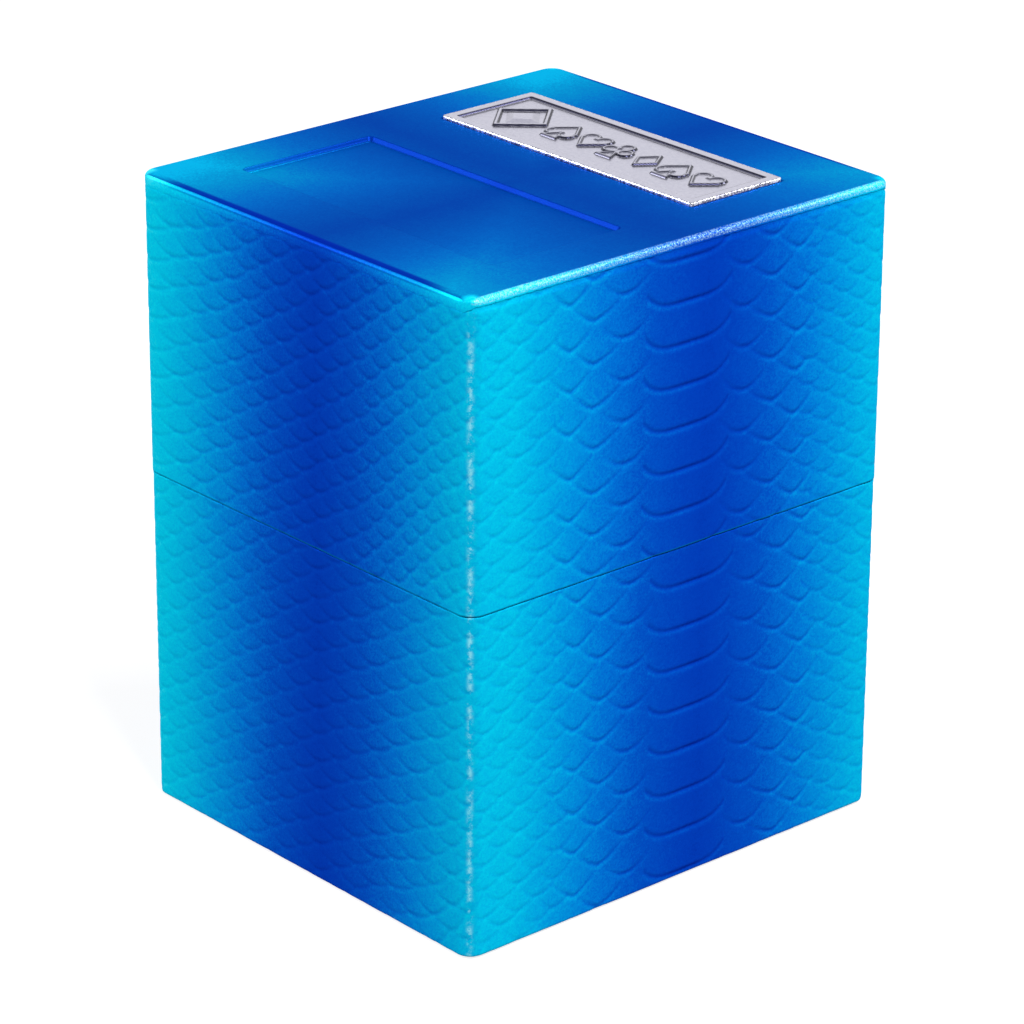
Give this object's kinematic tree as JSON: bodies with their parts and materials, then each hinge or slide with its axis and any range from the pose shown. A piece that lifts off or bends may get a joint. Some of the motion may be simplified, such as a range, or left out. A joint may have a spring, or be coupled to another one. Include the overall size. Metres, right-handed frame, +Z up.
{
  "type": "card deck box",
  "caption": "Upright leatherette-wrapped board box for a card deck: lift-off lid over an inner neck, scale-embossed walls, smooth top with a pressed panel and a metal nameplate.",
  "frame": {"origin": "centre of the box's outline, on the surface it stands on", "axes": "+Z up, the way the lid lifts; +X along the width, parallel to the nameplate's long side; -Y is the front, the wall beside the pressed panel"},
  "size_m": [0.0814, 0.0892, 0.1105],
  "materials": {
    "wall_leatherette": "scale-embossed satin leatherette, cyan at the upright edges to deep blue mid-face",
    "top_leatherette": "smooth satin leatherette",
    "underside_leatherette": "smooth matt leatherette",
    "grey_board": "grey board",
    "microfibre": "short-nap microfibre",
    "microfibre_pad": "padded microfibre",
    "plate_metal": "satin plated metal",
    "adhesive_sheet": "double-sided adhesive sheet",
    "magnet_metal": "nickel-plated disc magnets"
  },
  "bodies": {
    "base": {"base_back_board": "grey_board", "base_bottom_board": "grey_board", "base_bottom_skin": "underside_leatherette", "base_front_board": "grey_board", "base_left_board": "grey_board", "base_right_board": "grey_board", "base_wrap": "wall_leatherette", "floor_pad": "microfibre_pad", "inner_lining": "microfibre", "neck_back_board": "grey_board", "neck_cover": "microfibre", "neck_front_board": "grey_board", "neck_left_board": "grey_board", "neck_magnets": "magnet_metal", "neck_right_board": "grey_board"},
    "lid": {"lid_back_board": "grey_board", "lid_ceiling_pad": "microfibre_pad", "lid_front_board": "grey_board", "lid_left_board": "grey_board", "lid_lining": "microfibre", "lid_magnets": "magnet_metal", "lid_right_board": "grey_board", "lid_top_board": "grey_board", "lid_top_skin": "top_leatherette", "lid_window_board": "grey_board", "lid_wrap": "wall_leatherette", "nameplate": "plate_metal", "nameplate_tape": "adhesive_sheet"}
  },
  "joints": [
    {"name": "lid_lift", "type": "slide", "parent": "base", "child": "lid", "axis": [0, 0, 1], "range_m": [0, 0.06]}
  ]
}
